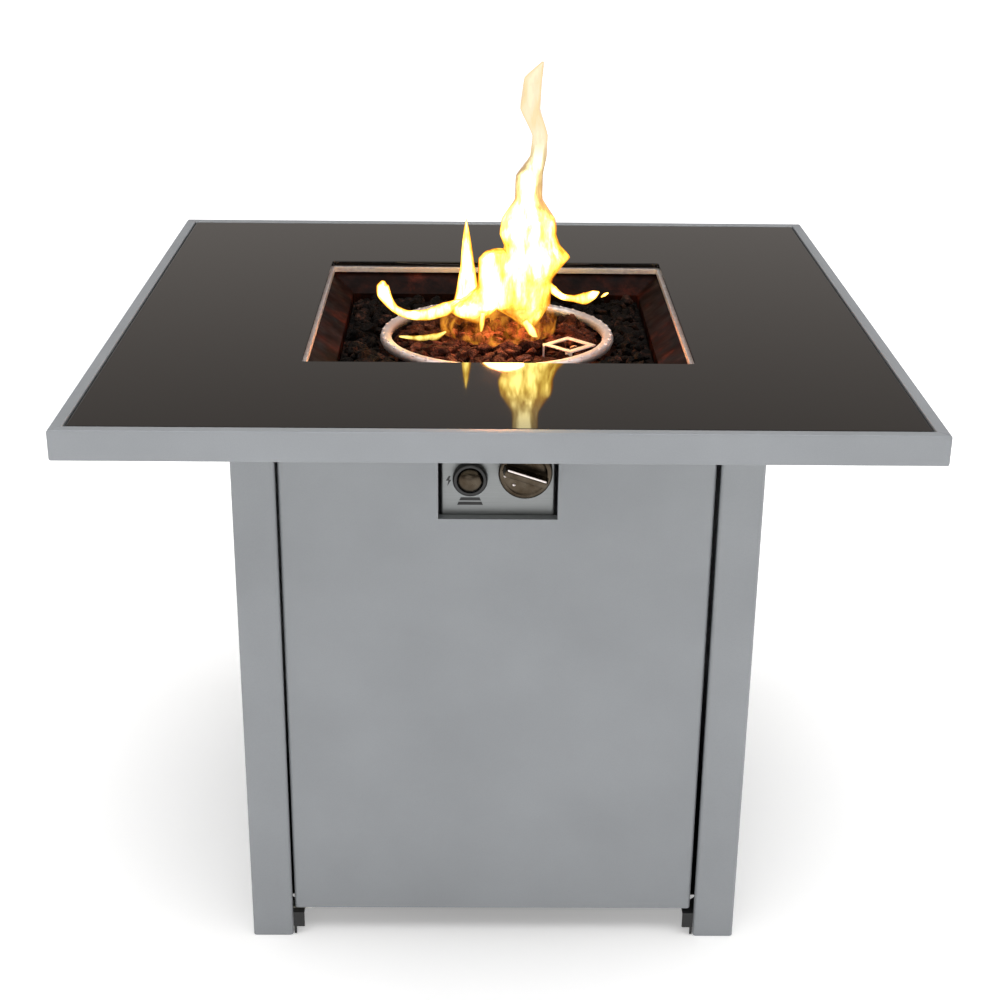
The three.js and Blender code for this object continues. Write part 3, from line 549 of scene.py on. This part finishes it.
def rock_shape(rng, detail):
    """Corners and faces of one lump: a ball cut by random planes, then roughened at two scales."""
    builder = bmesh.new()
    bmesh.ops.create_icosphere(builder, subdivisions=detail, radius=1.0)
    cuts = [(Vector((rng.gauss(0, 1), rng.gauss(0, 1), rng.gauss(0, 1))).normalized(),
             rng.uniform(0.48, 0.84)) for _ in range(10)]
    squash = Vector((rng.uniform(0.8, 1.3), rng.uniform(0.75, 1.1), rng.uniform(0.58, 0.9)))
    seed = Vector((rng.uniform(0, 90), rng.uniform(0, 90), rng.uniform(0, 90)))
    for vert in builder.verts:
        point = vert.co.copy()
        for normal, depth in cuts:
            beyond = point.dot(normal) - depth
            if beyond > 0:
                point -= normal * beyond
        rough = 0.20 * noise.noise(point * 1.9 + seed) + 0.13 * noise.noise(point * 4.7 + seed)
        vert.co = Vector(a * b for a, b in zip(point * (1 + rough), squash))
    builder.verts.index_update()
    corners = np.array([vert.co for vert in builder.verts])
    faces = np.array([[vert.index for vert in face.verts] for face in builder.faces])
    builder.free()
    return corners, faces


def rock_filler(top, base, reach, cells):
    """A closed rough block under the loose rocks, so that no gap between them shows the pan's floor."""
    lines = np.linspace(-reach, reach, cells + 1)
    surface = []
    for x in lines:
        for y in lines:
            near_ring = abs(math.hypot(x, y) - RING_RADIUS) < 14 * MM
            lift = 3.5 * MM * noise.noise(Vector((x, y, 0)) * 90) - (4 * MM if near_ring else 0)
            surface.append((x, y, top + lift))
    row = cells + 1
    rim = [i * row for i in range(cells)] + [cells * row + j for j in range(cells)]
    rim += [i * row + cells for i in range(cells, 0, -1)] + list(range(cells, 0, -1))
    faces = [(i * row + j, (i + 1) * row + j, (i + 1) * row + j + 1, i * row + j + 1)
             for i in range(cells) for j in range(cells)]
    foot = [len(surface) + k for k in range(len(rim))]
    surface += [(surface[k][0], surface[k][1], base) for k in rim]
    around = len(rim)
    faces += [(rim[(k + 1) % around], rim[k], foot[k], foot[(k + 1) % around]) for k in range(around)]
    faces.append(tuple(reversed(foot)))
    return surface, faces


def lava_rocks():
    rng = random.Random(ROCK_SEED)
    shapes = {detail: [rock_shape(rng, detail) for _ in range(ROCK_SHAPES)] for detail in (2, 3)}
    corners, faces = rock_filler(bed_high.z - 20 * MM, bed_low.z, BED_EDGE - 0.5 * MM, FILLER_CELLS)
    cells = int(2 * BED_EDGE / ROCK_STEP)
    for layer in range(2):
        for i in range(cells + 1):
            for j in range(cells + 1):
                x = -BED_EDGE + (i + 0.5 * layer + rng.uniform(-0.35, 0.35)) * ROCK_STEP
                y = -BED_EDGE + (j + 0.5 * layer + rng.uniform(-0.35, 0.35)) * ROCK_STEP
                size = rng.uniform(6.5, 11.5) * MM * (1.0 if rng.random() < 0.8 else 1.3)
                z = bed_level(x, y) + rng.uniform(-3.0, 3.5) * MM - layer * 7 * MM
                turn = Matrix.Rotation(rng.uniform(0, math.tau), 3, "Z")
                turn @= Matrix.Rotation(rng.uniform(-0.8, 0.8), 3, "X")
                limit = BED_EDGE - size * 1.05
                if abs(x) > limit or abs(y) > limit or not clear_of_burner(x, y, z, size):
                    continue
                shape, sides = rng.choice(shapes[3 if layer == 0 else 2])
                placed = shape @ np.array(turn).T * size + np.array((x, y, z))
                first = len(corners)
                corners.extend(map(tuple, placed))
                faces.extend(map(tuple, sides + first))
    mesh = bpy.data.meshes.new("lava_rocks")
    mesh.from_pydata(corners, [], faces)
    piece = add_piece("lava_rocks", mesh, "base", "lava_rock", stands_for=["lava_rock_bed"])
    piece.modifiers.new("smooth", "NODES").node_group = soft_shading(34)


lava_rocks()


# ---------------------------------------------------------------- controls and gas ports
GRIP_TILT = math.radians(18)
KNOB_DEPTH = 17 * MM  # from the knob's back to its face


def knob():
    low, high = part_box("control_knob")
    x, z = (low.x + high.x) / 2, (low.z + high.z) / 2
    radius = (high.x - low.x) / 2
    back, front = high.y, low.y
    skirt = back - KNOB_DEPTH
    builder = bmesh.new()
    lathe(builder, [
        (0, back),
        (radius - 2 * MM, back),
        (radius - 0.6 * MM, back - 0.5 * MM),
        (radius, back - 2 * MM),
        (radius, skirt + 5 * MM),
        (radius - 0.7 * MM, skirt + 2.2 * MM),
        (radius - 2.6 * MM, skirt + 0.6 * MM),
        (radius - 5 * MM, skirt),
        (radius - 6 * MM, skirt + 0.5 * MM),
        (radius - 8 * MM, skirt + 0.9 * MM),
        (0, skirt + 0.9 * MM),
    ], x, z)
    bar = bmesh.ops.create_cube(builder, size=1.0)["verts"]
    length, width = 2 * (radius - 3.4 * MM), 8.4 * MM
    turn = Matrix.Rotation(GRIP_TILT, 4, "Y")
    for vert in bar:
        outer = vert.co.y < 0
        long = length * (0.93 if outer else 1.0)
        wide = width * (0.80 if outer else 1.05)
        y = front + 0.2 * MM if outer else skirt + 3 * MM
        vert.co = turn @ Vector((vert.co.x * long, 0, vert.co.z * wide)) + Vector((x, y, z))
    edges = {edge for vert in bar for edge in vert.link_edges}
    bmesh.ops.bevel(builder, geom=list(edges), offset=1.9 * MM, segments=5, profile=0.6, affect="EDGES")
    piece = add_piece("knob", mesh_from(builder, "knob"), "knob", slot_of["control_knob"],
                      stands_for=["control_knob"])
    add_smoothing(piece)


def spark_button():
    low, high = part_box("igniter_button")
    x, z = (low.x + high.x) / 2, (low.z + high.z) / 2
    front, back = low.y, high.y
    cap = (high.x - low.x) / 2
    builder = bmesh.new()
    dome = [(cap * math.sin(a), front + 7 * MM * (1 - math.cos(a)) ** 0.9)
            for a in (math.radians(d) for d in range(0, 91, 9))]
    dome[0] = (0, front)
    stem = cap - 1.2 * MM
    lathe(builder, dome + [
        (cap, front + 8.5 * MM),
        (stem, front + 9.3 * MM),
        (stem, back - 2 * MM),
        (9 * MM, back - 2 * MM),
        (9 * MM, back),
        (0, back),
    ], x, z)
    piece = add_piece("spark_button", mesh_from(builder, "spark_button"), "igniter_button",
                      slot_of["igniter_button"], stands_for=["igniter_button"])
    add_smoothing(piece)


def knob_details():
    """A bright stainless strip along the grip's upper edge and two small bright studs on the knob's face,
    all painted highlights.
    """
    low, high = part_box("control_knob")
    x, z = (low.x + high.x) / 2, (low.z + high.z) / 2
    skirt = high.y - KNOB_DEPTH
    turn = Matrix.Rotation(GRIP_TILT, 4, "Y")
    builder = bmesh.new()
    # painted highlight: a bright strip along the grip's upper edge
    strip = bmesh.ops.create_cube(builder, size=1.0)["verts"]
    for vert in strip:
        depth = low.y + 0.7 * MM + vert.co.y * 1.8 * MM
        at = Vector((vert.co.x * 40 * MM, depth, (3.9 + vert.co.z * 1.7) * MM))
        vert.co = turn @ at + Vector((x, 0, z))
    bmesh.ops.bevel(builder, geom=builder.edges[:], offset=0.35 * MM, segments=3, affect="EDGES")
    # painted highlights: two small bright studs on the knob's face
    for dx, dz in ((-20.3, -1.4), (-11.5, -10.9)):
        lathe(builder, [
            (1.6 * MM, skirt + 1.2 * MM),
            (1.6 * MM, skirt + 0.4 * MM),
            (1.2 * MM, skirt - 0.3 * MM),
            (0.6 * MM, skirt - 0.7 * MM),
            (0, skirt - 0.8 * MM),
        ], x + dx * MM, z + dz * MM, steps=24)
    piece = add_piece("knob_painted_highlights", mesh_from(builder, "knob_painted_highlights"), "knob", "stainless")
    add_smoothing(piece)


def spark_spring():
    """The spark button's return spring: a copy of the CAD coil, welded and smooth-shaded."""
    mesh = nodes["igniter_spring"].data.copy()
    mesh.materials.clear()
    piece = add_piece("spark_spring", mesh, "base", slot_of["igniter_spring"],
                      stands_for=["igniter_spring"])
    piece.modifiers.new("weld", "WELD").merge_threshold = SHARED_VERTEX
    add_smoothing(piece)
    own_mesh(piece)


def plate_marks():
    """Generic printed marks: two bars under the spark button and a small spark sign beside it."""
    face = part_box("control_plate")[0].y
    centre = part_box("igniter_bezel")
    x, z = (centre[0].x + centre[1].x) / 2, (centre[0].z + centre[1].z) / 2
    below, beside = z - 21.5 * MM, x - 21.5 * MM
    shapes = [[(x - a * MM, below - d * MM), (x + a * MM, below - d * MM), (x + b * MM, below - e * MM),
               (x - b * MM, below - e * MM)] for a, d, b, e in ((9.5, 0, 11, 3.4), (11.6, 4.8, 13, 8.2))]
    zigzag = ((0, 5.5), (-3, 0.4), (-0.4, 0.4), (-1.4, -5.5), (2.6, 1.4), (0.4, 1.4), (2.0, 5.5))
    shapes.append([(beside + a * MM, z - 4 * MM + b * MM) for a, b in zigzag])
    builder = bmesh.new()
    for outline in shapes:
        front = [builder.verts.new((px, face - 0.12 * MM, pz)) for px, pz in outline]
        back = [builder.verts.new((px, face + 0.05 * MM, pz)) for px, pz in outline]
        builder.faces.new(front)
        builder.faces.new(list(reversed(back)))
        for k in range(len(front)):
            n = (k + 1) % len(front)
            builder.faces.new((front[k], back[k], back[n], front[n]))
    bmesh.ops.recalc_face_normals(builder, faces=builder.faces)
    add_piece("plate_marks", mesh_from(builder, "plate_marks"), "base", "black_plastic")


def burner_jets(count=44, around=14, lean_out=0.5):
    """Small raised collars round the gas ports, spaced along the upper outside of the burner ring."""
    builder = bmesh.new()
    profile = ((2.1, -0.9), (2.1, 0.25), (1.75, 0.6), (1.3, 0.55), (1.15, 0.2), (1.15, -0.9))
    for k in range(count):
        angle = math.tau * (k + 0.5) / count
        outward = Vector((math.cos(angle), math.sin(angle), 0))
        lean = outward * math.sin(lean_out) + Vector((0, 0, math.cos(lean_out)))
        centre = outward * RING_RADIUS + Vector((0, 0, RING_Z)) + lean * RING_TUBE
        turn = lean.to_track_quat("Z", "Y").to_matrix()
        turns = [math.tau * j / around for j in range(around)]
        rings = [[builder.verts.new(centre + turn @ Vector((r * math.cos(t), r * math.sin(t), h)) * MM)
                  for t in turns] for r, h in profile]
        for a, b in zip(rings, rings[1:] + rings[:1]):
            for j in range(around):
                following = (j + 1) % around
                builder.faces.new((a[j], a[following], b[following], b[j]))
    bmesh.ops.recalc_face_normals(builder, faces=builder.faces)
    piece = add_piece("burner_jets", mesh_from(builder, "burner_jets"), "base", "stainless")
    add_smoothing(piece)


knob()
knob_details()
spark_button()
spark_spring()
plate_marks()
burner_jets()


# ---------------------------------------------------------------- flames (staged)
FLAME_STRENGTH = 9.0
EMBER_STRENGTH = 1.25


def flame_finish():
    """Glowing gas: white-hot low in the middle, orange at its thin edges, pale and thin at its tip."""
    finish = Finish("flame", (0, 0, 0), 1.0, specular=0.0)
    height = finish.axis("Z")
    facing = finish.node("ShaderNodeLayerWeight", {"Blend": 0.55}).outputs["Facing"]
    streaks = finish.noise(9, 4, 0.6, finish.stretched((8, 8, 2.0)))
    edge = finish.between(finish.math("ADD", facing, finish.math("MULTIPLY", streaks, 2.1)), 1.0, 2.1)
    hot = finish.ramp(edge, (0.0, (1.0, 0.78, 0.22)), (0.30, (1.0, 0.66, 0.10)),
                      (0.60, (1.0, 0.42, 0.03)), (0.92, (0.75, 0.17, 0.01)))
    pale = finish.ramp(edge, (0.1, (1.0, 0.90, 0.62)), (0.45, (1.0, 0.80, 0.45)),
                       (0.85, (0.88, 0.62, 0.44)))
    color = finish.mix(finish.between(height, 0.735, 0.83), hot, pale)
    core = finish.ramp(edge, (0.0, 0.85), (0.25, 0.42), (0.5, 0.2), (0.85, 0.12))
    fade = finish.ramp(finish.between(height, 0.60, 0.86), (0.0, 0.35), (0.2, 1.0), (0.55, 1.0),
                       (0.68, 0.5), (0.88, 0.14))
    least = finish.between(height, 0.76, 0.83)
    strength = finish.math("MULTIPLY", finish.math("MULTIPLY", core, fade), FLAME_STRENGTH)
    bright = finish.math("MAXIMUM", strength, least)
    glow = finish.node("ShaderNodeEmission", {"Color": color, "Strength": bright})
    thin_edge = finish.ramp(edge, (0.5, 0.0), (1.0, 0.8))
    thin_foot = finish.math("MULTIPLY", finish.between(height, 0.652, 0.618), 0.85)
    finish.thin_out(glow, finish.math("MAXIMUM", thin_edge, thin_foot))
    return finish.material


def ember_finish():
    """The thin orange veil where the gas lights between the rocks."""
    finish = Finish("ember_glow", (0, 0, 0), 1.0, specular=0.0)
    streaks = finish.noise(9, 4, 0.6, finish.stretched((7, 7, 2.2)))
    color = finish.ramp(streaks, (0.40, (0.9, 0.16, 0.008)), (0.62, (1.0, 0.40, 0.04)))
    glow = finish.node("ShaderNodeEmission", {"Color": color, "Strength": EMBER_STRENGTH})
    height = finish.between(finish.axis("Z"), 0.618, 0.668)
    veil = finish.ramp(streaks, (0.40, 1.0), (0.52, 0.82), (0.66, 0.35))
    facing = finish.node("ShaderNodeLayerWeight", {"Blend": 0.5}).outputs["Facing"]
    hidden = finish.math("MAXIMUM", height, finish.ramp(facing, (0.25, 0.0), (0.7, 1.0)))
    finish.thin_out(glow, finish.math("MAXIMUM", veil, hidden))
    return finish.material


def skin(builder, rings):
    """Joins rings of corners into one closed tube."""
    around = len(rings[0])
    for a, b in zip(rings, rings[1:]):
        for k in range(around):
            following = (k + 1) % around
            builder.faces.new((a[k], a[following], b[following], b[k]))
    builder.faces.new(list(reversed(rings[0])))
    builder.faces.new(rings[-1])


def flame(name, levels, depth=0.55, y=0.0, around=28, between=5, material=None):
    """A tongue from rows of (height, left, right) in millimetres, rounded front to back."""
    rows = sorted(levels)
    heights, lefts, rights = (np.array(column, float) for column in zip(*rows))
    stretches = [np.linspace(a, b, between, endpoint=False) for a, b in zip(heights, heights[1:])]
    steps = np.concatenate(stretches + [heights[-1:]])
    left, right = np.interp(steps, heights, lefts), np.interp(steps, heights, rights)
    builder = bmesh.new()
    rings = []
    for z, low, high in zip(steps, left, right):
        middle, half = (low + high) / 2, max(0.3, (high - low) / 2)
        sway = 5 * noise.noise(Vector((z * 0.03, middle * 0.02, len(rows))))
        ring = []
        for k in range(around):
            angle = math.tau * k / around
            ripple = 1 + 0.07 * noise.noise(Vector((math.cos(angle) * 2, math.sin(angle) * 2, z * 0.05)))
            across = half * ripple * math.cos(angle)
            through = (half * depth + 2.5) * ripple * math.sin(angle)
            ring.append(builder.verts.new(((middle + across) * MM, y + (through + sway) * MM, z * MM)))
        rings.append(ring)
    skin(builder, rings)
    bmesh.ops.smooth_vert(builder, verts=builder.verts, factor=0.5, use_axis_x=True, use_axis_y=True,
                          use_axis_z=True)
    stage_flame(name, builder, material or FLAME)


def stage_flame(name, builder, material):
    mesh = mesh_from(builder, name)
    mesh.materials.append(material)
    for face in mesh.polygons:
        face.use_smooth = True
    made = bpy.data.objects.new(name, mesh)
    scene.collection.objects.link(made)


def curl(name, path, y=0.0, around=20, steps=8):
    """A low lick of flame along a path of (x, z, half width) in millimetres."""
    points = np.array(path, float)
    t = np.arange(len(points))
    fine = np.linspace(0, len(points) - 1, (len(points) - 1) * steps + 1)
    x, z, half = (np.interp(fine, t, points[:, k]) for k in range(3))
    for _ in range(6):
        x[1:-1], z[1:-1] = (x[:-2] + 2 * x[1:-1] + x[2:]) / 4, (z[:-2] + 2 * z[1:-1] + z[2:]) / 4
    along_x, along_z = np.gradient(x), np.gradient(z)
    size = np.hypot(along_x, along_z)
    builder = bmesh.new()
    rings = []
    for k in range(len(x)):
        side = Vector((-along_z[k] / size[k], 0, along_x[k] / size[k]))
        ring = []
        for j in range(around):
            angle = math.tau * j / around
            point = Vector((x[k], 0, z[k])) + side * half[k] * math.cos(angle)
            point.y = half[k] * 0.8 * math.sin(angle)
            ring.append(builder.verts.new(point * MM + Vector((0, y, 0))))
        rings.append(ring)
    skin(builder, rings)
    bmesh.ops.recalc_face_normals(builder, faces=builder.faces)
    stage_flame(name, builder, FLAME)


FLAME = flame_finish()
flame("flame_root", [(614, -52, 54), (624, -64, 66), (636, -66, 68), (650, -56, 64), (662, -34, 56),
                     (670, -10, 40)], depth=0.7, y=-0.012, material=ember_finish())
flame("flame_main", [(622, 30, 40), (634, 16, 50), (650, -14, 59), (680, -6, 61), (704, 4, 80),
                     (717, 7, 69), (730, 2, 64), (746, 3, 65), (768, 18, 48), (795, 18, 48), (815, 34, 52),
                     (837, 36, 53), (865, 22, 44), (898, 26, 46), (915, 45, 47)])
flame("flame_shoulder", [(630, -26, -18), (640, -50, -6), (650, -52, 6), (660, -34, 12), (672, -22, 14),
                         (692, -22, 16), (704, -21, 15), (711, -15, 12), (714, -6, 8)], y=-0.006)
flame("flame_tongue", [(640, -52, -20), (660, -46, -20), (692, -41, -25), (717, -39, -29),
                       (734, -37, -32), (743, -35, -34)], y=0.010)
curl("flame_curl_left", [(-40, 652, 4), (-58, 643, 8), (-78, 636, 6.5), (-100, 636, 5), (-114, 643, 4.5),
                         (-121, 652, 6), (-126, 661, 8), (-127, 670, 7), (-126, 675, 2)], y=0.002)
curl("flame_lick_left", [(-108, 621, 1), (-88, 619, 3), (-68, 620, 4.5), (-56, 627, 1)], y=-0.03)
curl("flame_curl_right", [(54, 676, 2), (62, 664, 5), (72, 656, 3.5), (86, 654, 4), (98, 654, 7),
                          (108, 659, 5), (114, 662, 1)], y=0.01)
curl("flame_wisp_right", [(116, 656, 0.6), (120, 659, 2), (124, 661, 0.6)], y=0.01)
curl("flame_lick_front", [(-16, 646, 3), (-17, 632, 3), (-18, 620, 0.6)], y=-0.02)
curl("flame_lick_right", [(30, 640, 4), (38, 628, 5), (46, 617, 1)], y=-0.03)


# ---------------------------------------------------------------- floor
def floor(reach=60):
    """A pale floor that glows a little more with distance, seen through from below."""
    mesh = bpy.data.meshes.new("floor")
    corners = [(-reach, -reach, 0), (reach, -reach, 0), (reach, reach, 0), (-reach, reach, 0)]
    mesh.from_pydata(corners, [], [(0, 1, 2, 3)])
    finish = Finish("pale_floor", (0.92, 0.92, 0.92), 0.9, specular=0.1)
    length = finish.node("ShaderNodeVectorMath", {0: finish.place}, operation="LENGTH")
    distance = length.outputs["Value"]
    finish.set("Emission Color", (1, 1, 1, 1))
    finish.set("Emission Strength", finish.ramp(
        finish.between(distance, 0.2, 3.0), (0.0, 0.26), (0.12, 0.46), (0.4, 0.7), (1.0, 1.0)))
    below = finish.node("ShaderNodeNewGeometry").outputs["Backfacing"]
    finish.thin_out(finish.shader, below)
    mesh.materials.append(finish.material)
    made = bpy.data.objects.new("floor", mesh)
    scene.collection.objects.link(made)


floor()
